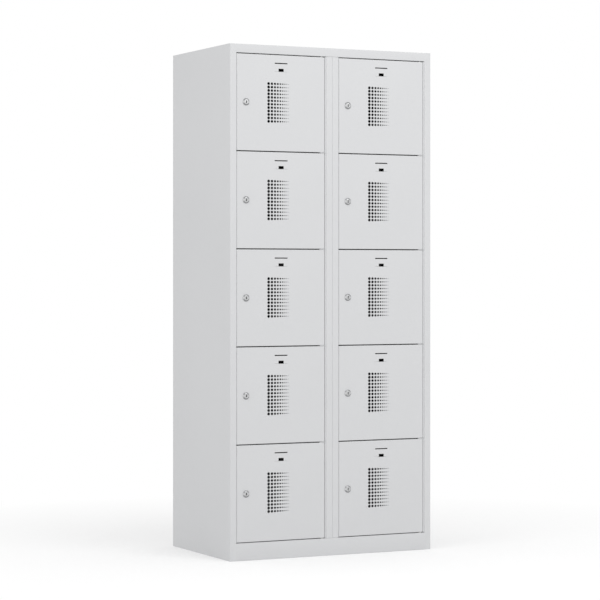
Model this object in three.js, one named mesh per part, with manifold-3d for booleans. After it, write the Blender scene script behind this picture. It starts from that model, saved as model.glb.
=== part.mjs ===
// A steel compartment locker: a folded sheet carcass with two columns of five hinged doors.
// Lengths are millimetres. +X is to the right, +Y goes back and +Z up, and the origin is on the
// floor under the middle of the locker. Inside the carcass, Y counts from the front face.
import * as THREE from "three";
import { mergeVertices } from "three/addons/utils/BufferGeometryUtils.js";
import Module from "manifold-3d";

// Overall size of the carcass
const WIDTH = 800;
const DEPTH = 500;
const HEIGHT = 1800;
const ROWS = 5;

// Sheet and clearances
const SHEET = 1;
const SEAT_GAP = 0.3;
const OVERRUN = 2;

// Front frame
const LOCK_STILE = 24;
const HINGE_STILE = 25;
const STILE_RETURN = 20;
const TOP_RAIL = 30.5;
const PLINTH = 61.5;
const PLINTH_RETURN = 25;
const REAR_FLANGE = 20;

// Doors, and the gaps round them
const LATCH_GAP = 2;
const END_GAP = 2;
const ROW_GAP = 3;
const DOOR_SHEET = 1;
const DOOR_DEPTH = 18;
const DOOR_LIP = 10;

// Hinge rods: where the pivot lies in a door, and how far a swinging corner stays clear
const ROD_DIAMETER = 6;
const ROD_CLEARANCE = 0.3;
const ROD_END = 9;
const WASHER_DIAMETER = 11;
const HINGE_INSET = 9;
const HINGE_DEPTH = 8;
const SWING_CLEARANCE = 2.5;
const SHELF_CLEARANCE = 1;

// Shelves
const SHELF_FLANGE = 20;

// Label pocket in a door, measured down from the door's top edge
const LABEL_WIDTH = 50;
const LABEL_SLOT = 3;
const LABEL_DROP = 28.2;
const WINDOW_WIDTH = 20;
const WINDOW_HEIGHT = 10.5;
const WINDOW_DROP = 47.9;

// Vents in a door: holes that shrink from column to column, with the same web between columns
const VENT_INSET = 122.4;
const VENT_DROP = 101.9;
const VENT_PITCH = 12;
const VENT_WEB = 4.3;
const VENT_DIAMETER = 9;
const VENT_SHRINK = 0.925;
const VENT_ROWS = 12;
const VENT_COLUMNS = 7;

// Cam lock, in the middle of a door's height
const LOCK_INSET = 35;
const LOCK_PROUD = 4;
const LOCK_FLANGE_DIAMETER = 25;
const LOCK_RIM = 1;
const LOCK_FACE_DIAMETER = 15;
const LOCK_BARREL_DIAMETER = 18;
const PLUG_DIAMETER = 10;
const PLUG_RECESS = 0.3;
const TAIL_DIAMETER = 6;
const KEYWAY_WIDTH = 2.6;
const KEYWAY_HEIGHT = 8;
const KEYWAY_DEPTH = 12;
const CAM_THICKNESS = 2.5;
const CAM_WIDTH = 14;
const CAM_OVERLAP = 6;
const CAM_CLEARANCE = 0.5;

// Sides of a round piece, and of a vent hole
const ROUND_SIDES = 12;
const VENT_SIDES = 4;

// Axis numbers
const X_AXIS = 0;
const Y_AXIS = 1;
const Z_AXIS = 2;

// Places that follow from the sizes
const CORNER_RADIUS = Math.hypot(HINGE_INSET, DOOR_DEPTH - HINGE_DEPTH);
const HINGE_GAP = CORNER_RADIUS - HINGE_INSET + SWING_CLEARANCE;
const COLUMN_WIDTH = WIDTH / 2;
const DOOR_WIDTH = COLUMN_WIDTH - LOCK_STILE - LATCH_GAP - HINGE_GAP - HINGE_STILE;
const DOORS_HEIGHT = HEIGHT - PLINTH - TOP_RAIL - 2 * END_GAP;
const DOOR_HEIGHT = (DOORS_HEIGHT - (ROWS - 1) * ROW_GAP) / ROWS;
const ROW_PITCH = DOOR_HEIGHT + ROW_GAP;
const ROD_X = DOOR_WIDTH - HINGE_INSET;
const ROD_HOLE_RADIUS = ROD_DIAMETER / 2 + ROD_CLEARANCE;
const RAIL_BOTTOM = HEIGHT - TOP_RAIL;
const ROOF_UNDERSIDE = HEIGHT - SHEET;
const REAR_FACE = DEPTH - SHEET - SEAT_GAP;
const INNER_REAR = REAR_FACE - SHEET - SEAT_GAP;
const INNER_HALF = WIDTH / 2 - SHEET - SEAT_GAP;
const RAIL_SPAN = [
  LOCK_STILE + SEAT_GAP - WIDTH / 2,
  WIDTH / 2 - HINGE_STILE - SEAT_GAP,
];
const SWING_REACH = HINGE_DEPTH + CORNER_RADIUS;
const SHELF_FRONT = Math.max(SWING_REACH, STILE_RETURN) + SHELF_CLEARANCE;
const CAM_FRONT = Math.max(DOOR_DEPTH, STILE_RETURN) + CAM_CLEARANCE;

// A column runs between the outer faces of the two upright sheets that bound it.
const columns = [
  { letter: "L", edge: -COLUMN_WIDTH, leftFace: -COLUMN_WIDTH, rightFace: -SEAT_GAP / 2 },
  { letter: "R", edge: 0, leftFace: SEAT_GAP / 2, rightFace: COLUMN_WIDTH },
];

const wasm = await Module();
wasm.setup();

// A closed geometry as a solid that can be joined and cut.
function solid(geometry) {
  geometry.deleteAttribute("normal");
  geometry.deleteAttribute("uv");
  const merged = mergeVertices(geometry);
  return new wasm.Manifold(
    new wasm.Mesh({
      numProp: 3,
      vertProperties: merged.attributes.position.array,
      triVerts: Uint32Array.from(merged.index.array),
    }),
  );
}

// An outline drawn out along an axis, from one value to another. Its points lie on the two axes
// that follow, in the order X, Y, Z, X, Y. Solids with a value in common meet exactly.
function prism(outline, axis, ends) {
  const shape = new THREE.Shape(outline.map(([u, v]) => new THREE.Vector2(u, v)));
  const geometry = new THREE.ExtrudeGeometry(shape, { depth: 1, bevelEnabled: false });
  const points = geometry.attributes.position;
  for (let i = 0; i < points.count; i++) {
    const along = points.getZ(i) > 0 ? ends[1] : ends[0];
    const [u, v] = [points.getX(i), points.getY(i)];
    points.setComponent(i, axis, along);
    points.setComponent(i, (axis + 1) % 3, u);
    points.setComponent(i, (axis + 2) % 3, v);
  }
  return solid(geometry);
}

// A box from a low and a high value along each axis.
function box(x, y, z) {
  const corners = [
    [x[0], y[0]],
    [x[1], y[0]],
    [x[1], y[1]],
    [x[0], y[1]],
  ];
  return prism(corners, Z_AXIS, z);
}

// The outline of a sheet bent square: along its outer line, and back one thickness to the
// right of it.
function bentSheet(line, thickness) {
  const steps = line.slice(1).map(([u, v], i) => {
    return [Math.sign(u - line[i][0]), Math.sign(v - line[i][1])];
  });
  const inner = line.map(([u, v], i) => {
    const touching = [steps[i - 1], steps[i]].filter(Boolean);
    const right = touching.reduce((sum, [du, dv]) => [sum[0] + dv, sum[1] - du], [0, 0]);
    return [u + right[0] * thickness, v + right[1] * thickness];
  });
  return [...line, ...inner.reverse()];
}

// A round bar along Y, through the point x, z.
function barAlongY(radius, sides, x, y, z) {
  const geometry = new THREE.CylinderGeometry(radius, radius, y[1] - y[0], sides);
  geometry.translate(x, (y[0] + y[1]) / 2, z);
  return solid(geometry);
}

// A round bar along Z, through the point x, y.
function barAlongZ(radius, x, y, z) {
  const geometry = new THREE.CylinderGeometry(radius, radius, z[1] - z[0], ROUND_SIDES);
  geometry.rotateX(Math.PI / 2);
  geometry.translate(x, y, (z[0] + z[1]) / 2);
  return solid(geometry);
}

// A profile of [radius, height] points turned round the Y axis, or round the Z axis.
function turned(profile, axis) {
  const points = profile.map(([radius, height]) => new THREE.Vector2(radius, height));
  const geometry = new THREE.LatheGeometry(points, ROUND_SIDES);
  if (axis === Z_AXIS) geometry.rotateX(Math.PI / 2);
  return solid(geometry);
}

function join(solids) {
  return solids.reduce((whole, piece) => whole.add(piece));
}

function cut(whole, cutters) {
  return whole.subtract(join(cutters));
}

// A solid as a named mesh, with the material that is its own.
function mesh(name, shape, material) {
  const { vertProperties, triVerts } = shape.getMesh();
  const geometry = new THREE.BufferGeometry();
  geometry.setAttribute("position", new THREE.BufferAttribute(vertProperties, 3));
  geometry.setIndex(new THREE.BufferAttribute(triVerts, 1));
  geometry.computeVertexNormals();
  const piece = new THREE.Mesh(geometry, material);
  piece.name = name;
  return piece;
}

function greyPaint() {
  return new THREE.MeshStandardMaterial({ color: 0xd6d7d9, roughness: 0.5, metalness: 0.1 });
}

function zincPlate() {
  return new THREE.MeshStandardMaterial({ color: 0xb4b6b8, roughness: 0.4, metalness: 0.9 });
}

function chrome() {
  return new THREE.MeshStandardMaterial({ color: 0xd8dadc, roughness: 0.12, metalness: 1 });
}

function nylon() {
  return new THREE.MeshStandardMaterial({ color: 0xe4e2dc, roughness: 0.45, metalness: 0 });
}

// An upright sheet with a stile folded across the front, its return, and a flange at the rear.
// Its outer face is at X = face, and side is 1 where the locker's inside lies to the right.
function upright(face, side, stile, z) {
  const line = [
    [stile, STILE_RETURN],
    [stile, 0],
    [0, 0],
    [0, REAR_FACE],
    [REAR_FLANGE, REAR_FACE],
  ];
  const outline = bentSheet(line, SHEET).map(([x, y]) => [face + side * x, y]);
  return prism(outline, Z_AXIS, z);
}

// An outer side, from the floor to the underside of the roof.
function sidePanel(face, side, stile) {
  return upright(face, side, stile, [0, ROOF_UNDERSIDE - SEAT_GAP]);
}

// Half of the centre post. It stands on the floor sheet and ends under the roof, behind the
// rail at the front and clear of the roof's flange at the rear.
function partition(face, side, stile) {
  const x = [-COLUMN_WIDTH, COLUMN_WIDTH];
  const whole = upright(face, side, stile, [PLINTH + SEAT_GAP, ROOF_UNDERSIDE - SEAT_GAP]);
  return cut(whole, [
    box(x, [-OVERRUN, STILE_RETURN + SEAT_GAP], [RAIL_BOTTOM - SEAT_GAP, HEIGHT]),
    box(x, [INNER_REAR, DEPTH], [HEIGHT - REAR_FLANGE - SEAT_GAP, HEIGHT]),
  ]);
}

// Holes for both hinge rods, through a fold of the top or the base.
function rodHoles(z) {
  return columns.map(({ edge }) => {
    const x = edge + LOCK_STILE + LATCH_GAP + ROD_X;
    return barAlongZ(ROD_HOLE_RADIUS, x, HINGE_DEPTH, z);
  });
}

// A sheet folded down at the front and the rear, between the stiles, with a flat wing on each
// side of it.
function foldedAcross(line, wingX, wingY, wingZ) {
  return join([
    prism(bentSheet(line, SHEET), X_AXIS, RAIL_SPAN),
    box([-wingX, RAIL_SPAN[0]], wingY, wingZ),
    box([RAIL_SPAN[1], wingX], wingY, wingZ),
  ]);
}

// The roof, with the rail folded down in front of it.
function topPanel() {
  const line = [
    [STILE_RETURN, RAIL_BOTTOM],
    [0, RAIL_BOTTOM],
    [0, HEIGHT],
    [REAR_FACE, HEIGHT],
    [REAR_FACE, HEIGHT - REAR_FLANGE],
  ];
  const folded = foldedAcross(line, WIDTH / 2, [0, REAR_FACE], [ROOF_UNDERSIDE, HEIGHT]);
  return cut(folded, rodHoles([RAIL_BOTTOM - OVERRUN, RAIL_BOTTOM + SHEET + OVERRUN]));
}

// The lowest shelf, with the plinth folded down in front of it and a foot fold on the floor.
function basePanel() {
  const line = [
    [PLINTH_RETURN, 0],
    [0, 0],
    [0, PLINTH],
    [INNER_REAR, PLINTH],
    [INNER_REAR, PLINTH - REAR_FLANGE],
  ];
  const wingY = [STILE_RETURN + SEAT_GAP, INNER_REAR];
  const folded = foldedAcross(line, INNER_HALF, wingY, [PLINTH - SHEET, PLINTH]);
  return cut(folded, rodHoles([PLINTH - SHEET - OVERRUN, PLINTH + OVERRUN]));
}

function backPanel() {
  return box([-WIDTH / 2, WIDTH / 2], [DEPTH - SHEET, DEPTH], [0, HEIGHT]);
}

// A shelf between two rows, folded down all round, with Z counted from the middle of the gap
// between their doors. Its lug reaches forward beside the hinge stile and carries the rod.
function shelf({ edge, leftFace, rightFace }) {
  const left = leftFace + SHEET + SEAT_GAP;
  const right = rightFace - SHEET - SEAT_GAP;
  const top = SHEET / 2;
  const rodX = edge + LOCK_STILE + LATCH_GAP + ROD_X;
  const lugEdge = edge + COLUMN_WIDTH - HINGE_STILE - SEAT_GAP;
  const lugHalf = ROW_GAP / 2 - SEAT_GAP;
  const reach = lugHalf + OVERRUN;
  const tray = cut(box([left, right], [SHELF_FRONT, INNER_REAR], [top - SHELF_FLANGE, top]), [
    box(
      [left + SHEET, right - SHEET],
      [SHELF_FRONT + SHEET, INNER_REAR - SHEET],
      [top - SHELF_FLANGE - OVERRUN, top - SHEET],
    ),
  ]);
  const lug = box(
    [rodX - HINGE_INSET, lugEdge],
    [0, SHELF_FRONT + SHEET / 2],
    [-lugHalf, lugHalf],
  );
  const rodHole = barAlongZ(ROD_HOLE_RADIUS, rodX, HINGE_DEPTH, [-reach, reach]);
  return cut(join([tray, lug]), [rodHole]);
}

// One rod carries a whole column of doors. X and Y count from its axis.
function hingeRod() {
  const ends = [PLINTH - SHEET - ROD_END, RAIL_BOTTOM + SHEET + ROD_END];
  return barAlongZ(ROD_DIAMETER / 2, 0, 0, ends);
}

// A washer on the rod fills the gap under the lowest door. X and Y count from the rod's axis.
function hingeWasher() {
  const ends = [PLINTH + SEAT_GAP, PLINTH + END_GAP - SEAT_GAP];
  const through = [ends[0] - OVERRUN, ends[1] + OVERRUN];
  const disc = barAlongZ(WASHER_DIAMETER / 2, 0, 0, ends);
  return cut(disc, [barAlongZ(ROD_HOLE_RADIUS, 0, 0, through)]);
}

// The vent holes' cutters. The web between two columns is the same all the way.
function ventCutters() {
  const cutters = [];
  let x = VENT_INSET;
  for (let column = 0; column < VENT_COLUMNS; column++) {
    const radius = (VENT_DIAMETER - column * VENT_SHRINK) / 2;
    for (let row = 0; row < VENT_ROWS; row++) {
      const z = DOOR_HEIGHT - VENT_DROP - row * VENT_PITCH;
      cutters.push(barAlongY(radius, VENT_SIDES, x, [-OVERRUN, DOOR_SHEET + OVERRUN], z));
    }
    x += 2 * radius - VENT_SHRINK / 2 + VENT_WEB;
  }
  return cutters;
}

// A door pan, with X from its lock edge, Y from its front and Z from its lower edge.
function doorPanel() {
  const inset = (size) => [DOOR_SHEET, size - DOOR_SHEET];
  const mouth = (size) => [DOOR_LIP, size - DOOR_LIP];
  const middle = DOOR_WIDTH / 2;
  const through = [-OVERRUN, DOOR_SHEET + OVERRUN];
  const fromTop = (drop, height) => [DOOR_HEIGHT - drop - height, DOOR_HEIGHT - drop];
  const wide = (width) => [middle - width / 2, middle + width / 2];
  const barrelHole = LOCK_BARREL_DIAMETER / 2 + SEAT_GAP;
  return cut(box([0, DOOR_WIDTH], [0, DOOR_DEPTH], [0, DOOR_HEIGHT]), [
    box(inset(DOOR_WIDTH), inset(DOOR_DEPTH), inset(DOOR_HEIGHT)),
    box(mouth(DOOR_WIDTH), [DOOR_DEPTH / 2, DOOR_DEPTH + OVERRUN], mouth(DOOR_HEIGHT)),
    box(wide(LABEL_WIDTH), through, fromTop(LABEL_DROP, LABEL_SLOT)),
    box(wide(WINDOW_WIDTH), through, fromTop(WINDOW_DROP, WINDOW_HEIGHT)),
    barAlongY(barrelHole, ROUND_SIDES, LOCK_INSET, through, DOOR_HEIGHT / 2),
    barAlongZ(ROD_HOLE_RADIUS, ROD_X, HINGE_DEPTH, [-OVERRUN, DOOR_HEIGHT + OVERRUN]),
    ...ventCutters(),
  ]);
}

// The lock's fixed case, round the Y axis: a domed flange on the door and a barrel through it.
function lockHousing() {
  const bore = PLUG_DIAMETER / 2 + SEAT_GAP;
  const flange = LOCK_FLANGE_DIAMETER / 2;
  const barrel = LOCK_BARREL_DIAMETER / 2;
  const rear = CAM_FRONT - SEAT_GAP;
  const profile = [
    [bore, -LOCK_PROUD],
    [LOCK_FACE_DIAMETER / 2, -LOCK_PROUD],
    [flange, -SEAT_GAP - LOCK_RIM],
    [flange, -SEAT_GAP],
    [barrel, -SEAT_GAP],
    [barrel, rear],
    [bore, rear],
    [bore, -LOCK_PROUD],
  ];
  return turned(profile, Y_AXIS);
}

// The plug that the key turns, with a tail behind it for the cam.
function lockPlug() {
  const front = PLUG_RECESS - LOCK_PROUD;
  const shoulder = CAM_FRONT - SEAT_GAP;
  const end = CAM_FRONT + CAM_THICKNESS + SEAT_GAP;
  const profile = [
    [0, front],
    [PLUG_DIAMETER / 2, front],
    [PLUG_DIAMETER / 2, shoulder],
    [TAIL_DIAMETER / 2, shoulder],
    [TAIL_DIAMETER / 2, end],
    [0, end],
  ];
  const keyway = box(
    [-KEYWAY_WIDTH / 2, KEYWAY_WIDTH / 2],
    [front - OVERRUN, front + KEYWAY_DEPTH],
    [-KEYWAY_HEIGHT / 2, KEYWAY_HEIGHT / 2],
  );
  return cut(turned(profile, Y_AXIS), [keyway]);
}

// The cam hangs down when the door is free. A quarter turn puts its tip behind the stile.
function lockCam() {
  const reach = LOCK_INSET + LATCH_GAP + SHEET + CAM_OVERLAP;
  const half = CAM_WIDTH / 2;
  const hole = TAIL_DIAMETER / 2 + SEAT_GAP;
  const outline = new THREE.Shape();
  outline.moveTo(-half, -reach);
  outline.lineTo(half, -reach);
  outline.absarc(0, 0, half, 0, Math.PI);
  outline.holes.push(new THREE.Path().absarc(0, 0, hole, 0, 2 * Math.PI));
  const geometry = new THREE.ExtrudeGeometry(outline, {
    depth: CAM_THICKNESS,
    bevelEnabled: false,
    curveSegments: ROUND_SIDES / 2,
  });
  geometry.rotateX(Math.PI / 2);
  geometry.translate(0, CAM_FRONT + CAM_THICKNESS, 0);
  return solid(geometry);
}

// The carcass: sides, centre post, top, base and back.
function carcass() {
  const centre = SEAT_GAP / 2;
  const group = new THREE.Group();
  group.add(
    mesh("left_side_panel", sidePanel(-WIDTH / 2, 1, LOCK_STILE), greyPaint()),
    mesh("right_side_panel", sidePanel(WIDTH / 2, -1, HINGE_STILE), greyPaint()),
    mesh("left_partition", partition(-centre, -1, HINGE_STILE - centre), greyPaint()),
    mesh("right_partition", partition(centre, 1, LOCK_STILE - centre), greyPaint()),
    mesh("top_panel", topPanel(), greyPaint()),
    mesh("base_panel", basePanel(), greyPaint()),
    mesh("back_panel", backPanel(), greyPaint()),
  );
  return group;
}

// A column's shelves, one under each row but the lowest. Rows count from the top.
function columnShelves(column) {
  const shape = shelf(column);
  const group = new THREE.Group();
  for (let row = 1; row < ROWS; row++) {
    const piece = mesh(`shelf_${column.letter}${row}`, shape, greyPaint());
    piece.position.z = RAIL_BOTTOM - END_GAP + ROW_GAP / 2 - row * ROW_PITCH;
    group.add(piece);
  }
  return group;
}

// A column's doors, each with its lock, and the rod and washer that they hang on.
function columnDoors({ letter, edge }) {
  const left = edge + LOCK_STILE + LATCH_GAP;
  const group = new THREE.Group();
  const hinge = new THREE.Group();
  hinge.position.set(left + ROD_X, HINGE_DEPTH, 0);
  hinge.add(
    mesh(`hinge_rod_${letter}`, hingeRod(), zincPlate()),
    mesh(`hinge_washer_${letter}`, hingeWasher(), nylon()),
  );
  group.add(hinge);
  for (let row = 1; row <= ROWS; row++) {
    const name = `${letter}${row}`;
    const lock = new THREE.Group();
    lock.position.set(LOCK_INSET, 0, DOOR_HEIGHT / 2);
    lock.add(
      mesh(`lock_housing_${name}`, housingShape, chrome()),
      mesh(`lock_plug_${name}`, plugShape, chrome()),
      mesh(`lock_cam_${name}`, camShape, zincPlate()),
    );
    const door = new THREE.Group();
    door.position.set(left, 0, RAIL_BOTTOM - END_GAP + ROW_GAP - row * ROW_PITCH);
    door.add(mesh(`door_panel_${name}`, doorShape, greyPaint()), lock);
    group.add(door);
  }
  return group;
}

const doorShape = doorPanel();
const housingShape = lockHousing();
const plugShape = lockPlug();
const camShape = lockCam();

// The locks stand proud of the front, so the front face lies that much behind the front limit.
const body = new THREE.Group();
body.position.y = (LOCK_PROUD - DEPTH) / 2;
body.add(carcass());
for (const column of columns) {
  body.add(columnShelves(column), columnDoors(column));
}

const locker = new THREE.Group();
locker.add(body);

export default locker;
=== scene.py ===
# A steel compartment locker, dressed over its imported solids: folded sheets with round bends,
# punched doors, cam locks, hinge rods and washers, in powder coat, chrome, zinc, nylon and
# rubber.
# Sizes are millimetres until a mesh is made, which is in metres. +X is right, +Y back, +Z up.
import math

import bmesh
import bpy
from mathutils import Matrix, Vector


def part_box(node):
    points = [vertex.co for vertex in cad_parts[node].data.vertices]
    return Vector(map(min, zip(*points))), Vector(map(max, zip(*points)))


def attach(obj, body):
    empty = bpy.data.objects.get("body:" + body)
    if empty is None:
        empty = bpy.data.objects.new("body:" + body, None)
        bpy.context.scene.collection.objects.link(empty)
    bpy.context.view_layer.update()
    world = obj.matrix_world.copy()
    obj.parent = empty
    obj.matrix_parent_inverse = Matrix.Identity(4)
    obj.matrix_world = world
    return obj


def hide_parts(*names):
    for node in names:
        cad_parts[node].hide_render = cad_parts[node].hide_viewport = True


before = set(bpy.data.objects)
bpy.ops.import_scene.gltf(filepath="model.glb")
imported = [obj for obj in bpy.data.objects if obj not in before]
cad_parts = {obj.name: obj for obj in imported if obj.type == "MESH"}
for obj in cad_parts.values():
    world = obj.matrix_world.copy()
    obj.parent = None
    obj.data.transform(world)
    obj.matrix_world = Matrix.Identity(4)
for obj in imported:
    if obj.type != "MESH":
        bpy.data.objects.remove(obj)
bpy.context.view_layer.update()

MM = 0.001
SHEET = 1.0
# The gap that the solids leave between two pieces, and how far a cutter runs past what it cuts
GAP = 0.3
OVERRUN = 2.0
# Edges that turn by more than this many degrees are shaded sharp
SHARP_ANGLE = 32
COLUMNS = "LR"
ROWS = 5

# Bends, as the radius of their outer side
BEND = 1.5
ARC_STEPS = 5
CORNER_STEPS = 4

# Front frame
STILES = {"left": 24.0, "right": 25.0}
STILE_RETURN = 20.0
TOP_RAIL = 30.5
PLINTH = 61.5
PLINTH_RETURN = 25.0
REAR_FLANGE = 20.0
# The stepped edge of a stile beside a door, as its width and how far back it lies
STEPS = {"latch": (1.6, 2.0), "hinge": (5.0, 2.3)}

# How far the two sheets of the post are moved together from their solids, to touch
POST_EASE = 0.14

# Spot welds on the back: a mark's radius and depth, its distance from an edge and from the
# middle, the heights of the upright lines, and the places across of the level ones
WELD_RADIUS = 3.2
WELD_DEPTH = 0.3
WELD_INSET = 11.0
POST_WELD = 10.0
WELD_HEIGHTS = [40 + 132 * k for k in range(14)]
WELDS_ACROSS = (-300, -200, -100, 100, 200, 300)

# Shelves: how far behind the front face they start, and the depth of their folds
SHELF_FRONT = 22.454
SHELF_FOLD = 20.0
# The hinge lug: its half thickness, corners and chamfer, its reach past the door's edge, and
# how far it runs over the shelf
LUG_HALF = 1.2
LUG_CORNER = 2.5
LUG_CHAMFER = 0.25
LUG_REACH = 6.65
LUG_OVERLAP = 0.6

# Hinge rods, and the washers on them: the radius of the one under each column's lowest door,
# and of the thin one over the highest, which is HIGH_WASHER thick
ROD_RADIUS = 3.0
ROD_CHAMFER = 0.6
WASHERS = {"low": 5.5, "high": 4.3}
HIGH_WASHER = 1.1
WASHER_BORE = 3.05
WASHER_GAP = 0.25

# Doors, with drops measured from the solid's top edge. A door is a little shorter than its
# solid, by the first value at its ends, or by the others beside the rail and the plinth.
DOOR_EASE = {"end": 0.35, "rail": 1.25, "plinth": 0.8}
DOOR_LIP = 10.0
# Where the rod's axis lies, from the door's edge and from its face, and its holes' radius
HINGE_INSET = 9.0
HINGE_DEPTH = 8.0
ROD_HOLE = 3.3
# The label pocket's slit and window, as their width, height and drop
SLIT = (50.0, 3.7, 28.3)
WINDOW = (20.2, 10.8, 48.7)
# The thin lanced line level with the window's lower edge, as its width and height
LANCE = (50.0, 0.5)
# The vent field: where its first column and row are centred, and its rows' pitch
VENT_INSET = 122.4
VENT_DROP = 102.4
VENT_PITCH = 12.0
# The first vent column's diameter and its distance to the next, and how much each then shrinks
VENT_DIAMETER = (10.3, 1.02)
VENT_SPACING = (12.84, 0.925)
# How much the radius of a punched hole grows behind the face, for each mm of its depth, and
# where its cutter starts and ends, before it would meet the next
VENT_TAPER = 0.4
VENT_CUT = (-1.0, 1.5)
VENT_ROWS = 12
VENT_COLUMNS = 9
# The card guide behind the window: where it starts and ends below the door's top, its half
# width, and its wall and lip, as their width and how far back they start and end
GUIDE_DROPS = (32.0, 68.0)
GUIDE_HALF = 27.5
GUIDE_WALL = (0.8, SHEET, 2.6)
GUIDE_LIP = (5.0, 2.62, 3.4)

# Locks, with places counted back from the door's face
LOCK_INSET = 35.0
LOCK_HOLE = 9.2
BARREL_RADIUS = 9.0
BARREL_FLAT = 8.2
BARREL_END = 20.2
BORE_RADIUS = 5.2
PLUG_RADIUS = 4.95
PLUG_FRONT = -3.7
# The keyway as its half width, half height and depth, its corners, and the ward that narrows
# it, as its distance from the middle and its half height
KEYWAY = (1.7, 4.0, 12.0)
KEYWAY_CORNER = 0.4
WARD = (0.9, 0.8)
# The barrel's thread: its first ridge, how many there are, 1 mm apart, and its depth
THREAD_START = 1.4
THREAD_RIDGES = 18
THREAD_DEPTH = 0.45
# The nut: its corners' radius, what they are turned down to on its sides and its end faces,
# its ends and its chamfer
NUT_CORNER = 13.8
NUT_SIDE = 13.6
NUT_FACE = 12.4
NUT_ENDS = (1.05, 4.75)
NUT_CHAMFER = 0.45
# The cam: where it starts and ends, its half width, its reach from the axis, and its corners
CAM_PLACE = (20.5, 23.0)
CAM_HALF = 7.0
CAM_REACH = 44.0
CAM_TIP = 3.5
CAM_CHAMFER = 0.3
# Half the side of the plug's square tail, and of the cam's hole for it
TAIL_HALF = 2.1
CAM_HOLE = 2.3

# Dark rubber strips put behind the door gaps as painted shade: how far behind the front face they
# end, how far short of the door's two sides they stop, and how far in from a column's top and
# foot the end strips lie
SHADE_STRIP_BACK = 22.4
SHADE_STRIP_SHORT = (1.0, 11.0)
SHADE_STRIP_ENDS = (3.5, 6.5)
ROW_GAP = 3.0
# The angles under the end strips: where the top one's flat side starts behind the front face
# and how deep the foot one's is, and the heights of their standing sides
STOP_FLATS = (8.0, 16.0)
STOP_HEIGHTS = (17.0, 15.0)


# --- Materials ------------------------------------------------------------------------------

def material(name, colour, roughness, metallic=0.0):
    """A material with the values that are the same all over its surface."""
    made = bpy.data.materials.new(name)
    made.use_nodes = True
    shader = made.node_tree.nodes["Principled BSDF"]
    shader.inputs["Base Color"].default_value = (*colour, 1)
    shader.inputs["Roughness"].default_value = roughness
    shader.inputs["Metallic"].default_value = metallic
    return made, made.node_tree, shader


def node(tree, kind, **sockets):
    """A shader node with some of its inputs set, by name with _ for a space."""
    made = tree.nodes.new(kind)
    for name, value in sockets.items():
        made.inputs[name.replace("_", " ")].default_value = value
    return made


def noise(tree, scale, detail=2.0, roughness=0.5):
    """Noise in the object's own space, with scale in cycles per metre."""
    place = tree.nodes.new("ShaderNodeTexCoord")
    made = node(tree, "ShaderNodeTexNoise", Scale=scale, Detail=detail, Roughness=roughness)
    tree.links.new(place.outputs["Object"], made.inputs["Vector"])
    return made


def ranged(tree, source, low, high, out_low, out_high):
    """A value moved from one range to another, and kept inside it."""
    made = tree.nodes.new("ShaderNodeMapRange")
    for socket, value in zip(("From Min", "From Max", "To Min", "To Max"),
                             (low, high, out_low, out_high)):
        made.inputs[socket].default_value = value
    tree.links.new(source, made.inputs["Value"])
    return made.outputs["Result"]


def bump(tree, shader, layers):
    """Bump layers, each a height output, a strength and a depth in metres."""
    last = None
    for height, strength, depth in layers:
        made = node(tree, "ShaderNodeBump", Strength=strength, Distance=depth)
        tree.links.new(height, made.inputs["Height"])
        if last:
            tree.links.new(last.outputs["Normal"], made.inputs["Normal"])
        last = made
    tree.links.new(last.outputs["Normal"], shader.inputs["Normal"])


def mixed(tree, factor, first, second):
    """Two colours mixed by a factor output. Each is a colour or a colour output."""
    made = tree.nodes.new("ShaderNodeMix")
    made.data_type = "RGBA"
    for socket, colour in (("A", first), ("B", second)):
        if isinstance(colour, tuple):
            made.inputs[socket].default_value = (*colour, 1)
        else:
            tree.links.new(colour, made.inputs[socket])
    tree.links.new(factor, made.inputs["Factor"])
    return made.outputs["Result"]


def math_node(tree, operation, first, second=None):
    """The value of a math node on one or two outputs."""
    made = tree.nodes.new("ShaderNodeMath")
    made.operation = operation
    tree.links.new(first, made.inputs[0])
    if second:
        tree.links.new(second, made.inputs[1])
    return made.outputs["Value"]


def edge_mask(tree, radius):
    """One on sharp edges and nought elsewhere, from how far rounding would turn the surface."""
    bevel = node(tree, "ShaderNodeBevel", Radius=radius)
    bevel.samples = 4
    geometry = tree.nodes.new("ShaderNodeNewGeometry")
    dot = tree.nodes.new("ShaderNodeVectorMath")
    dot.operation = "DOT_PRODUCT"
    tree.links.new(bevel.outputs["Normal"], dot.inputs[0])
    tree.links.new(geometry.outputs["Normal"], dot.inputs[1])
    return ranged(tree, dot.outputs["Value"], 0.98, 0.75, 0, 1)


def powder_coat():
    """Light grey powder coat: satin, very finely textured, a little thinner on the edges."""
    made, tree, shader = material("powder_coat", (0.67, 0.675, 0.685), 0.5)
    shader.inputs["Specular IOR Level"].default_value = 0.2
    broad = noise(tree, 2.2, 3.0)
    fine = noise(tree, 55.0, 3.0)
    peel = noise(tree, 620.0, 2.0, 0.55)
    cloud = ranged(tree, broad.outputs["Fac"], 0.3, 0.7, 0, 1)
    base = mixed(tree, cloud, (0.662, 0.667, 0.677), (0.678, 0.683, 0.693))
    worn = ranged(tree, edge_mask(tree, 0.0012), 0, 1, 0, 0.45)
    tree.links.new(mixed(tree, worn, base, (0.74, 0.745, 0.752)), shader.inputs["Base Color"])
    tree.links.new(ranged(tree, fine.outputs["Fac"], 0.3, 0.7, 0.44, 0.56),
                   shader.inputs["Roughness"])
    bump(tree, shader, [(peel.outputs["Fac"], 0.22, 0.0001), (fine.outputs["Fac"], 0.05, 0.0003)])
    return made


# Where the lock's looks change, in metres: how far from its axis the polished face gives way to
# the satin flange, how far out the painted shade in the keyway reaches, and at what depth it
# starts
FACE_EDGE = (0.0077, 0.0082)
KEYWAY_SHADE_EDGE = (0.0043, 0.0046)
KEYWAY_SHADE_DEPTH = (-0.0035, -0.003)
# The painted reflection on the flange makes it light where its height over the axis is a small
# share of its distance from it, and dark above and below
PAINTED_REFLECTION_SHARE = (0.2, 0.55)


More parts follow.
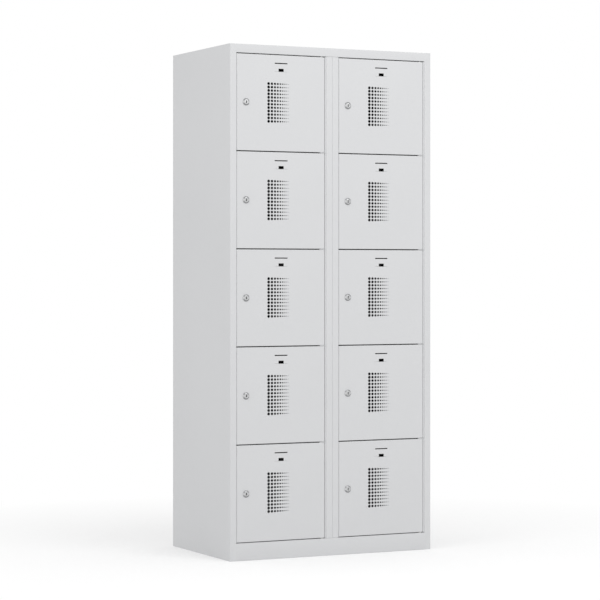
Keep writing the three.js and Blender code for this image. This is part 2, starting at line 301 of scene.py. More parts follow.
def chrome():
    """Plate that is polished on the lock's face and satin on the flange round it, with a painted
    reflection that makes the flange darker above and below than at the sides, and with faint
    polishing marks and duller patches. Painted shade makes the keyway dark inside. The lock's
    axis is the object's Y."""
    made, tree, shader = material("lock_chrome", (0.45, 0.455, 0.465), 0.25, 1.0)
    marks = noise(tree, 900.0, 4.0, 0.7)
    patch = noise(tree, 160.0, 2.0)
    place = tree.nodes.new("ShaderNodeTexCoord")
    parts = tree.nodes.new("ShaderNodeSeparateXYZ")
    tree.links.new(place.outputs["Object"], parts.inputs["Vector"])
    across, behind, up = (parts.outputs[axis] for axis in "XYZ")
    height = math_node(tree, "ABSOLUTE", up)
    far = math_node(tree, "SQRT", math_node(tree, "ADD",
                                            math_node(tree, "MULTIPLY", height, height),
                                            math_node(tree, "MULTIPLY", across, across)))
    # Painted reflection: the flange is lighter at its left and right and darker above and below
    sides = ranged(tree, math_node(tree, "DIVIDE", height, far), *PAINTED_REFLECTION_SHARE, 1, 0)
    face = ranged(tree, far, *FACE_EDGE, 1, 0)
    # Painted shade: near black inside the keyway and bore, within a radius and behind a depth
    keyway_shade = ranged(tree, far, *KEYWAY_SHADE_EDGE, 1, 0)
    deep = ranged(tree, behind, *KEYWAY_SHADE_DEPTH, 0, 1)
    base = mixed(tree, patch.outputs["Fac"], (0.28, 0.284, 0.29), (0.34, 0.344, 0.35))
    # The painted reflection on the flange, light at its sides
    base = mixed(tree, sides, base, (0.6, 0.604, 0.61))
    base = mixed(tree, face, base, (0.6, 0.605, 0.61))
    # The painted shade in the keyway
    base = mixed(tree, math_node(tree, "MULTIPLY", keyway_shade, deep), base, (0.05, 0.05, 0.05))
    tree.links.new(base, shader.inputs["Base Color"])
    duller = ranged(tree, marks.outputs["Fac"], 0.35, 0.7, 0.2, 0.34)
    flange = ranged(tree, far, *FACE_EDGE, 0, 0.14)
    tree.links.new(math_node(tree, "ADD", duller, flange), shader.inputs["Roughness"])
    bump(tree, shader, [(marks.outputs["Fac"], 0.08, 0.00005)])
    return made


def zinc():
    """Zinc plate: dull grey metal with a cloudy, slightly blue and yellow bloom."""
    made, tree, shader = material("zinc_plate", (0.56, 0.57, 0.58), 0.36, 1.0)
    cloud = noise(tree, 90.0, 4.0, 0.6)
    grain = noise(tree, 1400.0, 2.0)
    base = mixed(tree, ranged(tree, cloud.outputs["Fac"], 0.35, 0.65, 0, 1),
                 (0.5, 0.515, 0.54), (0.62, 0.615, 0.59))
    tree.links.new(base, shader.inputs["Base Color"])
    tree.links.new(ranged(tree, cloud.outputs["Fac"], 0.3, 0.7, 0.3, 0.46),
                   shader.inputs["Roughness"])
    bump(tree, shader, [(grain.outputs["Fac"], 0.15, 0.00005)])
    return made


def nylon():
    """Natural nylon for the washers: milky, waxy, with a fine moulded grain."""
    made, tree, shader = material("nylon", (0.78, 0.77, 0.73), 0.42)
    grain = noise(tree, 700.0, 3.0)
    cloud = noise(tree, 120.0, 2.0)
    base = mixed(tree, cloud.outputs["Fac"], (0.75, 0.74, 0.69), (0.81, 0.8, 0.76))
    tree.links.new(base, shader.inputs["Base Color"])
    tree.links.new(ranged(tree, grain.outputs["Fac"], 0.3, 0.7, 0.36, 0.5),
                   shader.inputs["Roughness"])
    bump(tree, shader, [(grain.outputs["Fac"], 0.2, 0.00008)])
    return made


def rubber():
    """Dark rubber for the strips behind the doors, which give the door gaps painted shade: matt,
    with a fine moulded grain.
    """
    made, tree, shader = material("rubber", (0.035, 0.035, 0.037), 0.75)
    grain = noise(tree, 1100.0, 3.0)
    bloom = noise(tree, 200.0, 2.0)
    base = mixed(tree, bloom.outputs["Fac"], (0.028, 0.028, 0.03), (0.05, 0.05, 0.052))
    tree.links.new(base, shader.inputs["Base Color"])
    tree.links.new(ranged(tree, bloom.outputs["Fac"], 0.3, 0.7, 0.66, 0.84),
                   shader.inputs["Roughness"])
    bump(tree, shader, [(grain.outputs["Fac"], 0.3, 0.0001)])
    return made


PAINT, CHROME, ZINC, NYLON, SHADE_RUBBER = powder_coat(), chrome(), zinc(), nylon(), rubber()


# --- Shapes: each part is (points, faces) in millimetres --------------------------------------

def loft(rings, closed=False):
    """Rings of equal length joined one to the next, with caps, or back to the first."""
    count = len(rings[0])
    points = [point for ring in rings for point in ring]
    pairs = list(zip(range(len(rings)), range(1, len(rings))))
    if closed:
        pairs.append((len(rings) - 1, 0))
    faces = [
        (a * count + i, a * count + (i + 1) % count, b * count + (i + 1) % count, b * count + i)
        for a, b in pairs for i in range(count)
    ]
    if not closed:
        faces += [tuple(range(count))[::-1], tuple(range(len(points) - count, len(points)))]
    return points, faces


def arc(centre, radius, start, turn, steps):
    """Points round a centre, from an angle in degrees through a turn."""
    angles = [math.radians(start + turn * k / steps) for k in range(steps + 1)]
    return [(centre[0] + radius * math.cos(a), centre[1] + radius * math.sin(a)) for a in angles]


def circle(radius, sides, centre=(0, 0)):
    """Points round a whole circle."""
    return arc(centre, radius, 0, 360, sides)[:-1]


def rounded(size, inset, corner):
    """A rounded rectangle's points, at an inset from its outer line."""
    radius = max(corner - inset, 0)
    low, high = inset + radius, [side - inset - radius for side in size]
    middles = [(high[0], high[1]), (low, high[1]), (low, low), (high[0], low)]
    return [p for i, m in enumerate(middles) for p in arc(m, radius, 90 * i, 90, CORNER_STEPS)]


def at(outline, place, axis):
    """An outline's points in space: at a value along an axis, in the order X, Y, Z, X, Y."""
    made = []
    for u, v in outline:
        point = [0, 0, 0]
        point[axis], point[(axis + 1) % 3], point[(axis + 2) % 3] = place, u, v
        made.append(tuple(point))
    return made


def extruded(outline, axis, ends, chamfer=None):
    """An outline drawn out along an axis. A chamfer is the outline of the two end faces and
    how far from the ends the full outline starts."""
    if not chamfer:
        return loft([at(outline, end, axis) for end in ends])
    small, step = chamfer
    places = [ends[0], ends[0] + step, ends[1] - step, ends[1]]
    return loft([at(line, p, axis) for line, p in zip([small, outline, outline, small], places)])


def bar(radius, sides, centre, axis, ends):
    """A round bar along an axis."""
    return extruded(circle(radius, sides, centre), axis, ends)


def block(x, y, z):
    """A box from its ends along each axis."""
    return extruded([(x[0], y[0]), (x[1], y[0]), (x[1], y[1]), (x[0], y[1])], 2, z)


def square(half):
    """A square's corners, from half its side."""
    return [(-half, -half), (half, -half), (half, half), (-half, half)]


def turned(profile, sides, axis):
    """A closed profile of (radius, height) points, or one between two points on the axis."""
    closed = profile[0][0] > 0
    rings = [at(circle(radius, sides), height, axis) for radius, height in profile]
    return loft(rings, closed)


def folded(line, axis, ends):
    """A sheet bent square along its outer line, with the sheet on the line's right."""
    steps = [Vector((u - a, v - b)).normalized() for (a, b), (u, v) in zip(line, line[1:])]
    right = [Vector((step.y, -step.x)) for step in steps]
    middle = []
    for i, point in enumerate(line):
        touching = right[max(i - 1, 0):i + 1] if i < len(right) else right[-1:]
        middle.append(Vector(point) + sum(touching, Vector((0, 0))) * SHEET / 2)
    spine = [(middle[0], right[0])]
    for i in range(1, len(line) - 1):
        before, after = steps[i - 1], steps[i]
        radius = BEND - SHEET / 2
        centre = middle[i] + (after - before) * radius
        for k in range(ARC_STEPS + 1):
            turn = math.radians(90 * k / ARC_STEPS)
            where = centre + (before * math.sin(turn) - after * math.cos(turn)) * radius
            way = before * math.cos(turn) + after * math.sin(turn)
            spine.append((where, Vector((way.y, -way.x))))
    spine.append((middle[-1], right[-1]))
    outer = [where - side * SHEET / 2 for where, side in spine]
    inner = [where + side * SHEET / 2 for where, side in spine]
    count = len(spine)
    points = at(outer, ends[0], axis) + at(inner, ends[0], axis)
    points += at(outer, ends[1], axis) + at(inner, ends[1], axis)
    loop = list(range(count)) + list(range(2 * count - 1, count - 1, -1))
    faces = [
        (a, b, b + 2 * count, a + 2 * count) for a, b in zip(loop, loop[1:] + loop[:1])
    ]
    for shift in (0, 2 * count):
        faces += [(shift + i, shift + i + 1, shift + count + i + 1, shift + count + i)
                  for i in range(count - 1)]
    return points, faces


def pan(size, depth, lip=0.0):
    """A sheet folded back on all four sides, as (u, v, w) with its face at w = 0, and with a
    lip folded inward at the rear."""
    bend, inner = BEND, BEND - SHEET
    flat = bend + SHEET
    steps = [math.radians(90 * k / ARC_STEPS) for k in range(ARC_STEPS + 1)]
    line = [(flat, 0)] + [(bend - bend * math.sin(a), bend - bend * math.cos(a)) for a in steps]
    back = [(SHEET + inner - inner * math.sin(a), SHEET + inner - inner * math.cos(a))
            for a in steps]
    if lip:
        line += [(bend - bend * math.cos(a), depth - bend + bend * math.sin(a)) for a in steps]
        line += [(lip, depth), (lip, depth - SHEET)]
        line += [(bend - inner * math.cos(a), depth - bend + inner * math.sin(a))
                 for a in reversed(steps)]
    else:
        line += [(0, depth), (SHEET, depth)]
    line += back[::-1] + [(flat, SHEET)]
    rings = [[(u, v, level) for u, v in rounded(size, inset, bend)] for inset, level in line]
    return loft(rings)


def moved(part, change):
    """A part with each point changed by a function."""
    points, faces = part
    return [change(*point) for point in points], faces


# --- Meshes and pieces ------------------------------------------------------------------------

def shaded(mesh):
    """A mesh shaded smooth, but for its sharp edges."""
    mesh.shade_smooth()
    mesh.set_sharp_from_angle(angle=math.radians(SHARP_ANGLE))
    return mesh


def to_mesh(name, parts, finish):
    """One mesh from parts, in metres, with its normals out and its sharp edges marked."""
    bm = bmesh.new()
    for points, faces in parts:
        verts = [bm.verts.new(Vector(point) * MM) for point in points]
        for face in faces:
            bm.faces.new([verts[i] for i in face])
    bmesh.ops.remove_doubles(bm, verts=bm.verts, dist=2e-6)
    bmesh.ops.recalc_face_normals(bm, faces=bm.faces)
    mesh = bpy.data.meshes.new(name)
    bm.to_mesh(mesh)
    bm.free()
    mesh.materials.append(finish)
    return shaded(mesh)


def cut(mesh, parts):
    """A mesh with parts taken away from it."""
    scene = bpy.context.scene.collection
    tool = bpy.data.objects.new("tool", to_mesh("tool", parts, mesh.materials[0]))
    whole = bpy.data.objects.new("whole", mesh)
    scene.objects.link(tool)
    scene.objects.link(whole)
    modifier = whole.modifiers.new("cut", "BOOLEAN")
    modifier.operation, modifier.solver, modifier.object = "DIFFERENCE", "EXACT", tool
    ready = whole.evaluated_get(bpy.context.evaluated_depsgraph_get())
    made = bpy.data.meshes.new_from_object(ready)
    made.name = mesh.name
    for spare in (tool, whole):
        bpy.data.objects.remove(spare)
    made.materials.clear()
    made.materials.append(mesh.materials[0])
    return shaded(made)


def with_parts(mesh, parts):
    """A mesh with parts added to it."""
    extra = to_mesh("extra", parts, mesh.materials[0])
    bm = bmesh.new()
    bm.from_mesh(mesh)
    bm.from_mesh(extra)
    bm.to_mesh(mesh)
    bm.free()
    bpy.data.meshes.remove(extra)
    return shaded(mesh)


def piece(name, mesh, body, replaced=(), place=(0, 0, 0)):
    """A named object of the locker that rides on a body."""
    made = bpy.data.objects.new(name, mesh)
    made.location = Vector(place) * MM
    bpy.context.scene.collection.objects.link(made)
    bpy.context.view_layer.update()
    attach(made, body)
    if replaced:
        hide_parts(*replaced)


def box_mm(name):
    """The lowest and highest corner of a node in the frame, in millimetres."""
    return [[round(value / MM, 3) for value in corner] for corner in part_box(name)]


# --- Carcass ----------------------------------------------------------------------------------

(LEFT, FRONT, _), (_, REAR, _) = box_mm("left_side_panel")
RIGHT = box_mm("right_side_panel")[1][0]
TOP = box_mm("top_panel")[1][2]
UNDER = TOP - SHEET
RAIL_BOTTOM = TOP - TOP_RAIL
INNER_REAR = box_mm("base_panel")[1][1]
# The rail and the plinth run to where the stiles' bends begin, so the corners show no seam.
RAIL_SPAN = (LEFT + STILES["left"] - BEND, RIGHT - STILES["right"] + BEND)


def upright(face, side, stile, ends):
    """A side sheet with its stile, return and rear flange. Side is 1 with the inside right."""
    line = [(stile, STILE_RETURN), (stile, 0), (0, 0), (0, REAR - FRONT),
            (REAR_FLANGE, REAR - FRONT)]
    part = folded(line, 2, ends)
    return moved(part, lambda x, y, z: (face + side * x, FRONT + y, z))


def stepped_edge(face, side, stile, kind, column):
    """The stepped edge of a stile, in a length beside each of the column's doors."""
    wide, back = STEPS[kind]
    ends = sorted((face + side * (stile - SHEET / 2), face + side * (stile + wide)))
    rows = [box_mm(f"door_panel_{column}{row}") for row in range(1, ROWS + 1)]
    return [block(ends, (FRONT + back, FRONT + back + SHEET), (low[2], high[2]))
            for low, high in rows]


def make_sides():
    """The two side sheets, each with its stile."""
    for name, face, side, kind in (("left", LEFT, 1, "latch"), ("right", RIGHT, -1, "hinge")):
        part = upright(face, side, STILES[name], (0, UNDER))
        edge = stepped_edge(face, side, STILES[name], kind, name[0].upper())
        mesh = to_mesh(f"{name}_side", [part, *edge], PAINT)
        piece(f"{name}_side", mesh, "carcass", [f"{name}_side_panel"])


def make_post():
    """The centre post: two folded sheets back to back, notched round the rail."""
    for name, side, kind in (("left", -1, "hinge"), ("right", 1, "latch")):
        low, high = box_mm(f"{name}_partition")
        face = high[0] + POST_EASE if side < 0 else low[0] - POST_EASE
        stile = high[0] - low[0] + POST_EASE
        part = upright(face, side, stile, (low[2], high[2]))
        edge = stepped_edge(face, side, stile, kind, name[0].upper())
        mesh = to_mesh(f"{name}_post", [part], PAINT)
        across = (low[0] - SHEET, high[0] + SHEET)
        notches = [
            block(across, (FRONT - SHEET, FRONT + STILE_RETURN + GAP), (RAIL_BOTTOM - GAP, TOP)),
            block(across, (INNER_REAR, REAR + SHEET), (TOP - REAR_FLANGE - GAP, TOP)),
        ]
        piece(f"{name}_post", with_parts(cut(mesh, notches), edge), "carcass",
              [f"{name}_partition"])


def end_cutters(outline):
    """Cutters with one outline, at the two ends of a sheet that stands between the stiles."""
    return [extruded(outline, 0, ends) for ends in ((LEFT - SHEET, RAIL_SPAN[0]),
                                                    (RAIL_SPAN[1], RIGHT + SHEET))]


def make_top():
    """The roof with its rail and rear flange, both cut away at the ends."""
    line = [(FRONT + STILE_RETURN, RAIL_BOTTOM), (FRONT, RAIL_BOTTOM), (FRONT, TOP), (REAR, TOP),
            (REAR, TOP - REAR_FLANGE)]
    mesh = to_mesh("roof", [folded(line, 0, (LEFT, RIGHT))], PAINT)
    low, high = RAIL_BOTTOM - SHEET, UNDER
    ends = end_cutters([(FRONT - SHEET, low), (REAR + SHEET, low), (REAR + SHEET, high),
                        (FRONT - SHEET, high)])
    piece("roof", cut(mesh, ends), "carcass", ["top_panel"])


def make_base():
    """The base with its plinth, cut away at the ends for the stiles."""
    line = [(FRONT + PLINTH_RETURN, 0), (FRONT, 0), (FRONT, PLINTH), (INNER_REAR, PLINTH),
            (INNER_REAR, PLINTH - REAR_FLANGE)]
    low, high = box_mm("base_panel")
    mesh = to_mesh("base", [folded(line, 0, (low[0], high[0]))], PAINT)
    stile, foot = FRONT + STILE_RETURN + GAP, FRONT + PLINTH_RETURN + SHEET
    ends = end_cutters([(FRONT - SHEET, -SHEET), (foot, -SHEET), (foot, PLINTH / 2),
                        (stile, PLINTH / 2), (stile, PLINTH + SHEET),
                        (FRONT - SHEET, PLINTH + SHEET)])
    piece("base", cut(mesh, ends), "carcass", ["base_panel"])


def weld_marks():
    """The shallow round marks that spot welds leave on the back sheet, as cutters."""
    low, high = box_mm("back_panel")
    lines = [low[0] + WELD_INSET, -POST_WELD, POST_WELD, high[0] - WELD_INSET]
    places = [(x, z) for x in lines for z in WELD_HEIGHTS]
    for row in range(1, ROWS):
        shelf = box_mm(f"shelf_L{row}")[1][2]
        places += [(x, shelf - WELD_INSET) for x in WELDS_ACROSS]
    places += [(x, edge - WELD_INSET) for x in WELDS_ACROSS for edge in (PLINTH, TOP)]
    depth = (high[1] - WELD_DEPTH, high[1] + SHEET)
    return [bar(WELD_RADIUS, 16, (z, x), 1, depth) for x, z in places]


def make_back():
    """The flat back sheet."""
    low, high = box_mm("back_panel")
    sheet = to_mesh("back", [block(*zip(low, high))], PAINT)
    piece("back", cut(sheet, weld_marks()), "carcass", ["back_panel"])


def rod_axis(column):
    """Where a column's hinge rod stands, in X and Y."""
    low, high = box_mm(f"hinge_rod_{column}")
    return [(low[i] + high[i]) / 2 for i in (0, 1)]


def lug_mesh(column, front, level):
    """The hinge lug of a shelf: a plate round the rod, from the front face to the shelf."""
    rod = rod_axis(column)
    edge = box_mm(f"door_panel_{column}1")[1][0] + LUG_REACH
    size = (edge - rod[0] + HINGE_INSET, front + LUG_OVERLAP - FRONT)
    place = (rod[0] - HINGE_INSET, FRONT)
    small, full = ([(x + place[0], y + place[1]) for x, y in rounded(size, inset, LUG_CORNER)]
                   for inset in (LUG_CHAMFER, 0.0))
    plate = extruded(full, 2, (level - LUG_HALF, level + LUG_HALF), (small, LUG_CHAMFER))
    mesh = to_mesh(f"lug_{column}", [plate], PAINT)
    return cut(mesh, [bar(ROD_HOLE, 32, rod, 2, (level - OVERRUN, level + OVERRUN))])


def make_shelves():
    """Each column's shelves, all alike, and the lug on each that the rod runs through."""
    for column in COLUMNS:
        low, high = box_mm(f"shelf_{column}1")
        front, top = FRONT + SHELF_FRONT, low[2] + SHELF_FOLD
        size = (high[0] - low[0], INNER_REAR - front)
        tray = moved(pan(size, SHELF_FOLD), lambda u, v, w: (low[0] + u, front + v, top - w))
        lug = lug_mesh(column, front, top - SHEET / 2)
        tray = to_mesh(f"tray_{column}", [tray], PAINT)
        for row in range(1, ROWS):
            name = f"{column}{row}"
            place = (0, 0, box_mm(f"shelf_{name}")[0][2] - low[2])
            piece(f"shelf_{name}_tray", tray, "carcass", [f"shelf_{name}"], place)
            piece(f"shelf_{name}_lug", lug, "carcass", (), place)


def washer_mesh(radius, low, high):
    """A washer between two heights, chamfered inside and out."""
    inner, outer = 0.15, 0.3
    ring = [(WASHER_BORE, low + inner), (WASHER_BORE + inner, low), (radius - outer, low),
            (radius, low + outer), (radius, high - outer), (radius - outer, high),
            (WASHER_BORE + inner, high), (WASHER_BORE, high - inner)]
    return to_mesh("washer", [turned(ring, 40, 2)], NYLON)


def make_rods():
    """Each column's hinge rod, and the washers on it at the two ends of the doors."""
    for column in COLUMNS:
        foot, head = (corner[2] for corner in box_mm(f"hinge_rod_{column}"))
        place = (*rod_axis(column), 0)
        tip = ROD_RADIUS - ROD_CHAMFER
        profile = [(0, foot), (tip, foot), (ROD_RADIUS, foot + ROD_CHAMFER),
                   (ROD_RADIUS, head - ROD_CHAMFER), (tip, head), (0, head)]
        piece(f"rod_{column}", to_mesh(f"rod_{column}", [turned(profile, 32, 2)], ZINC),
              "carcass", [f"hinge_rod_{column}"], place)
        under = box_mm(f"door_panel_{column}{ROWS}")[0][2] + DOOR_EASE["plinth"] - WASHER_GAP
        over = box_mm(f"door_panel_{column}1")[1][2] - DOOR_EASE["rail"] + WASHER_GAP
        for name, ends, node_name in (
                ("low", (PLINTH + GAP, under), [f"hinge_washer_{column}"]),
                ("high", (over, over + HIGH_WASHER), ())):
            piece(f"washer_{column}_{name}", washer_mesh(WASHERS[name], *ends), "carcass",
                  node_name, place)


# --- Doors ------------------------------------------------------------------------------------

def vent_holes(height):
    """The vent field: the holes shrink from column to column, and widen behind the sheet."""
    holes, x = [], VENT_INSET
    for column in range(VENT_COLUMNS):
        radius = (VENT_DIAMETER[0] - column * VENT_DIAMETER[1]) / 2
        sides = 24 if radius > 3 else 16
        for row in range(VENT_ROWS):
            z = height - VENT_DROP - row * VENT_PITCH
            holes.append(loft([at(circle(radius + VENT_TAPER * depth, sides, (z, x)), depth, 1)
                               for depth in VENT_CUT]))
        x += VENT_SPACING[0] - column * VENT_SPACING[1]
    return holes


def door_mesh(width, depth, height, foot, head):
    """A door with X from its lock edge, Y from its face and Z from its solid's lower edge. It
    is shorter than its solid by foot and head."""
    sheet = moved(pan((width, height - foot - head), depth, DOOR_LIP),
                  lambda u, v, w: (u, w, v + foot))
    middle, through = width / 2, (-OVERRUN, SHEET + OVERRUN)
    wide, tall, drop = SLIT
    slit = block((middle - wide / 2, middle + wide / 2), through,
                 (height - drop - tall, height - drop))
    wide, tall, drop = WINDOW
    over, foot_line, (lance, thin) = height - drop, height - drop - tall, LANCE
    window = extruded([
        (foot_line, middle - lance / 2), (foot_line, middle + lance / 2),
        (foot_line + thin, middle + lance / 2), (foot_line + thin, middle + wide / 2),
        (over, middle + wide / 2), (over, middle - wide / 2),
        (foot_line + thin, middle - wide / 2), (foot_line + thin, middle - lance / 2)],
        1, through)
    cutters = [
        slit, window, *vent_holes(height),
        bar(LOCK_HOLE, 48, (height / 2, LOCK_INSET), 1, through),
        bar(ROD_HOLE, 24, (width - HINGE_INSET, HINGE_DEPTH), 2, (-OVERRUN, height + OVERRUN)),
    ]
    return cut(to_mesh("door", [sheet], PAINT), cutters)


def card_guide_mesh(width, height):
    """The guide behind the window: a folded U that a card slides down into."""
    middle = width / 2
    top, foot = (height - drop for drop in GUIDE_DROPS)

    def u_shape(edge):
        inner = GUIDE_HALF - edge
        return [(top, middle - GUIDE_HALF), (foot, middle - GUIDE_HALF),
                (foot, middle + GUIDE_HALF), (top, middle + GUIDE_HALF), (top, middle + inner),
                (foot + edge, middle + inner), (foot + edge, middle - inner),
                (top, middle - inner)]

    parts = [extruded(u_shape(edge), 1, ends) for edge, *ends in (GUIDE_WALL, GUIDE_LIP)]
    return to_mesh("card_guide", parts, PAINT)


def case_mesh():
    """The lock's case: a domed flange on the door, and a threaded barrel with two flats."""
    front = [(BORE_RADIUS, -3.85), (BORE_RADIUS + 0.15, -4.0), (7.4, -4.0), (7.75, -3.93),
             (8.2, -3.7), (9.2, -3.1), (10.3, -2.5), (11.3, -1.95), (12.0, -1.55),
             (12.4, -1.2), (12.5, -0.9), (12.5, -0.45), (12.3, -0.3), (BARREL_RADIUS, -0.3),
             (BARREL_RADIUS, 1.2)]
    root = BARREL_RADIUS - THREAD_DEPTH
    thread = []
    for ridge in range(THREAD_RIDGES):
        level = THREAD_START + ridge
        thread += [(BARREL_RADIUS, level), (BARREL_RADIUS, level + 0.25), (root, level + 0.5),
                   (root, level + 0.7)]
    back = [(root, BARREL_END - 0.3), (BARREL_RADIUS - 0.8, BARREL_END),
            (BORE_RADIUS, BARREL_END)]

    def flatten(x, y, z):
        return (max(min(x, BARREL_FLAT), -BARREL_FLAT) if y > SHEET else x, y, z)

    case = turned(front + thread + back, 64, 1)
    return to_mesh("lock_case", [moved(case, flatten)], CHROME)


def nut_mesh():
    """The thin hexagon nut that holds the lock, on the inside of the door."""
    def hexagon(limit):
        corners = circle(NUT_CORNER, 6)
        line = []
        for a, b in zip(corners, corners[1:] + corners[:1]):
            for k in range(6):
                u, v = (a[i] + (b[i] - a[i]) * k / 6 for i in (0, 1))
                shrink = min(limit / math.hypot(u, v), 1)
                line.append((u * shrink, v * shrink))
        return line

    near, far = NUT_ENDS
    hole, face, side = circle(BARREL_RADIUS + 0.02, 36), hexagon(NUT_FACE), hexagon(NUT_SIDE)
    lines = [(hole, near), (face, near), (side, near + NUT_CHAMFER), (side, far - NUT_CHAMFER),
             (face, far), (hole, far)]
    return to_mesh("lock_nut", [loft([at(line, place, 1) for line, place in lines], True)], ZINC)


def plug_mesh():
    """The plug, with its keyway and the ward that narrows it."""
    profile = [(0, PLUG_FRONT), (PLUG_RADIUS - 0.35, PLUG_FRONT),
               (PLUG_RADIUS, PLUG_FRONT + 0.3), (PLUG_RADIUS, BARREL_END), (0, BARREL_END)]
    mesh = to_mesh("lock_plug", [turned(profile, 64, 1)], CHROME)
    (wide, tall, deep), (near, half) = KEYWAY, WARD
    end, side = tall - KEYWAY_CORNER, wide - KEYWAY_CORNER
    slot = [(-tall, -side), (-end, -wide), (end, -wide), (tall, -side), (tall, side),
            (end, wide), (half, wide), (half, near), (-half, near), (-half, wide),
            (-end, wide), (-tall, side)]
    return cut(mesh, [extruded(slot, 1, (PLUG_FRONT - SHEET, PLUG_FRONT + deep))])


def cam_mesh():
    """The cam: a flat steel tongue with rounded ends, on the plug's square tail."""
    def outline(inset):
        low, side = CAM_TIP - CAM_REACH, CAM_HALF - CAM_TIP
        return (arc((0, 0), CAM_HALF - inset, -90, 180, 24)
                + arc((low, side), CAM_TIP - inset, 90, 90, 6)
                + arc((low, -side), CAM_TIP - inset, 180, 90, 6))

    plate = extruded(outline(0), 1, CAM_PLACE, (outline(CAM_CHAMFER), CAM_CHAMFER))
    mesh = to_mesh("lock_cam", [plate], ZINC)
    return cut(mesh, [extruded(square(CAM_HOLE), 1, (CAM_PLACE[0] - SHEET,
                                                     CAM_PLACE[1] + SHEET))])


def screw_mesh():
    """The plug's square tail, and the screw on it behind the cam, with its washer."""
    seat = CAM_PLACE[1] + 0.02
    tail = extruded(square(TAIL_HALF), 1, (BARREL_END, seat))
    washer = [(0, seat), (5.2, seat), (5.4, 23.2), (5.4, 23.7), (5.2, 23.9), (0, 23.9)]
    head = extruded(circle(4.6, 6), 1, (23.8, 26.6), (circle(4.2, 6), 0.35))
    return to_mesh("cam_screw", [tail, turned(washer, 32, 1), head], ZINC)


def make_doors():
    """The doors with their card guides and locks. The highest and the lowest have their own
    sheets, and the others share one."""
    low, high = box_mm("door_panel_L1")
    size = [high[i] - low[i] for i in range(3)]
    end, rail, plinth = (DOOR_EASE[name] for name in ("end", "rail", "plinth"))
    shared = door_mesh(*size, end, end)
    own = {1: door_mesh(*size, end, rail), ROWS: door_mesh(*size, plinth, end)}
    guide = card_guide_mesh(size[0], size[2])
    case, nut, plug, cam, screw = case_mesh(), nut_mesh(), plug_mesh(), cam_mesh(), screw_mesh()
    for column in COLUMNS:
        for row in range(1, ROWS + 1):
            name = f"{column}{row}"
            corner = box_mm(f"door_panel_{name}")[0]
            axis = (corner[0] + LOCK_INSET, FRONT, corner[2] + size[2] / 2)
            on_door, on_lock = f"door_{name}", f"lock_{name}"
            piece(f"door_{name}_sheet", own.get(row, shared), on_door,
                  [f"door_panel_{name}"], corner)
            piece(f"card_guide_{name}", guide, on_door, (), corner)
            piece(f"lock_case_{name}", case, on_door, [f"lock_housing_{name}"],
                  axis)
            piece(f"lock_nut_{name}", nut, on_door, (), axis)
            piece(f"plug_{name}", plug, on_lock, [f"lock_plug_{name}"], axis)
            piece(f"cam_{name}", cam, on_lock, [f"lock_cam_{name}"], axis)
            piece(f"cam_screw_{name}", screw, on_lock, (), axis)


def make_shade_strips():
    """Dark rubber strips put behind the door gaps as painted shade: on each shelf's front fold,
    and on an angle under the rail and on the base. They stop short of the hinge, where a door
    turns in."""
    back = FRONT + SHADE_STRIP_BACK
    section = [(back, -8), (back, 5.2), (back - 0.9, 5.2), (back - 1.6, 2.6), (back - 3.6, 1.6),
               (back - 4.2, 0.6), (back - 4.2, -4.4), (back - 3.2, -6.0), (back - 1.2, -8)]
    over, face = RAIL_BOTTOM + 2 * SHEET, back + SHEET
    angles = {
        "top": [(FRONT + STOP_FLATS[0], over), (face, over), (face, over - STOP_HEIGHTS[0])],
        "foot": [(back + STOP_FLATS[1], PLINTH), (back, PLINTH),
                 (back, PLINTH + STOP_HEIGHTS[1])],
    }
    for column in COLUMNS:
        low, high = box_mm(f"door_panel_{column}1")
        foot = box_mm(f"door_panel_{column}{ROWS}")[0][2]
        ends = (low[0] + SHADE_STRIP_SHORT[0], high[0] - HINGE_INSET - SHADE_STRIP_SHORT[1])
        # Painted shade: each strip is a dark piece that makes the gap in front of it look dark
        strip = to_mesh(f"shade_strip_{column}", [extruded(section, 0, ends)], SHADE_RUBBER)
        for row in range(1, ROWS):
            middle = box_mm(f"door_panel_{column}{row}")[0][2] - ROW_GAP / 2
            piece(f"shade_strip_{column}{row}", strip, "carcass", (), (0, 0, middle))
        for name, line in angles.items():
            piece(f"stop_{column}_{name}", to_mesh("stop", [folded(line, 0, ends)], PAINT),
                  "carcass")
        for name, level in (("top", high[2] - SHADE_STRIP_ENDS[0]), ("foot", foot + SHADE_STRIP_ENDS[1])):
            piece(f"shade_strip_{column}_{name}", strip, "carcass", (), (0, 0, level))


make_sides()
make_post()
make_top()
make_base()
make_back()
make_shelves()
make_rods()
make_doors()
make_shade_strips()


# --- Studio -----------------------------------------------------------------------------------

# Soft square lamps that face the middle of the locker, as their place in metres and their power
LAMPS = {"key": ((0.85, -3.2, 3.2), 33.5), "fill": ((-3.2, -1.5, 3.2), 17)}
LAMP_SIZE = 2.0
LAMP_TARGET = (0, 0, 1.0)

# The photo's camera: level and to the left of straight on, with its place in metres, and with
# its focal length and how far the horizon lies above the middle in pixels
CAMERA_PLACE = (-3.639, -7.288, 0.9976)
CAMERA_TURN = 26.5
PHOTO_WIDTH = 600
FOCAL_PIXELS = 2232
HORIZON_PIXELS = 25.7
SENSOR = 36

# How bright the world is as a light. What is seen of it directly is white.
AMBIENT = 0.86
# What the floor adds to its own light near the locker, and where it fades to white
FLOOR_LIFT = 0.19
FLOOR_FADE = (0.8, 2.0)
FLOOR_HALF = 20000


def seen_directly(tree):
    """One for rays that show a background: the camera's, and those in metal and glass."""
    path = tree.nodes.new("ShaderNodeLightPath")
    last = path.outputs["Is Camera Ray"]
    for name in ("Is Glossy Ray", "Is Transmission Ray"):
        last = math_node(tree, "MAXIMUM", last, path.outputs[name])
    return last


def make_world():
    """A white world that lights the locker evenly."""
    world = bpy.data.worlds.new("studio")
    world.use_nodes = True
    tree = world.node_tree
    shader = tree.nodes["Background"]
    shader.inputs["Color"].default_value = (1, 1, 1, 1)
    tree.links.new(ranged(tree, seen_directly(tree), 0, 1, AMBIENT, 1),
                   shader.inputs["Strength"])
    bpy.context.scene.world = world


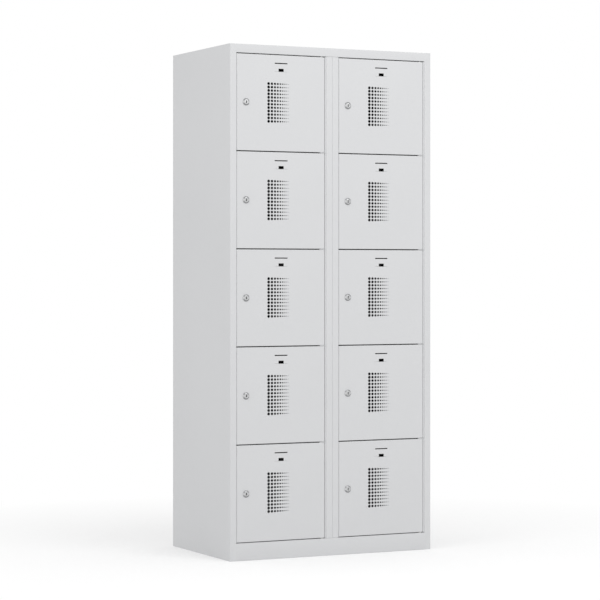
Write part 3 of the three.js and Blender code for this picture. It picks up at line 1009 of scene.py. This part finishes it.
def make_floor():
    """A plain pale floor that fades to white and keeps the shadow."""
    made, tree, shader = material("floor", (0.8, 0.8, 0.8), 0.9)
    shader.inputs["Specular IOR Level"].default_value = 0.0
    shader.inputs["Emission Color"].default_value = (1, 1, 1, 1)
    place = tree.nodes.new("ShaderNodeTexCoord")
    far = tree.nodes.new("ShaderNodeVectorMath")
    far.operation = "LENGTH"
    tree.links.new(place.outputs["Object"], far.inputs[0])
    seen = seen_directly(tree)
    tree.links.new(ranged(tree, seen, 0, 1, 0, FLOOR_LIFT), shader.inputs["Emission Strength"])
    fade = math_node(tree, "MULTIPLY", seen,
                     ranged(tree, far.outputs["Value"], *FLOOR_FADE, 0, 1))
    white = node(tree, "ShaderNodeEmission", Strength=1.0)
    both = tree.nodes.new("ShaderNodeMixShader")
    tree.links.new(fade, both.inputs["Fac"])
    tree.links.new(shader.outputs["BSDF"], both.inputs[1])
    tree.links.new(white.outputs["Emission"], both.inputs[2])
    tree.links.new(both.outputs["Shader"], tree.nodes["Material Output"].inputs["Surface"])
    sheet = (at(square(FLOOR_HALF), 0, 2), [(0, 1, 2, 3)])
    floor = bpy.data.objects.new("floor", to_mesh("floor", [sheet], made))
    bpy.context.scene.collection.objects.link(floor)


def make_lamps():
    """The lamps, turned to their target."""
    for name, (place, power) in LAMPS.items():
        data = bpy.data.lights.new(name, "AREA")
        data.shape, data.size, data.energy = "SQUARE", LAMP_SIZE, power
        made = bpy.data.objects.new(name, data)
        made.location = place
        way = Vector(LAMP_TARGET) - Vector(place)
        made.rotation_euler = way.to_track_quat("-Z", "Y").to_euler()
        bpy.context.scene.collection.objects.link(made)


def make_camera():
    """The camera that takes the photo's view."""
    data = bpy.data.cameras.new("camera")
    data.sensor_width = SENSOR
    data.lens = SENSOR * FOCAL_PIXELS / PHOTO_WIDTH
    data.shift_y = -HORIZON_PIXELS / PHOTO_WIDTH
    data.clip_end = 100
    made = bpy.data.objects.new("camera", data)
    made.location = CAMERA_PLACE
    made.rotation_euler = (math.radians(90), 0, math.radians(-CAMERA_TURN))
    bpy.context.scene.collection.objects.link(made)
    bpy.context.scene.camera = made


make_world()
make_floor()
make_lamps()
make_camera()
bpy.context.scene.view_settings.view_transform = "Standard"
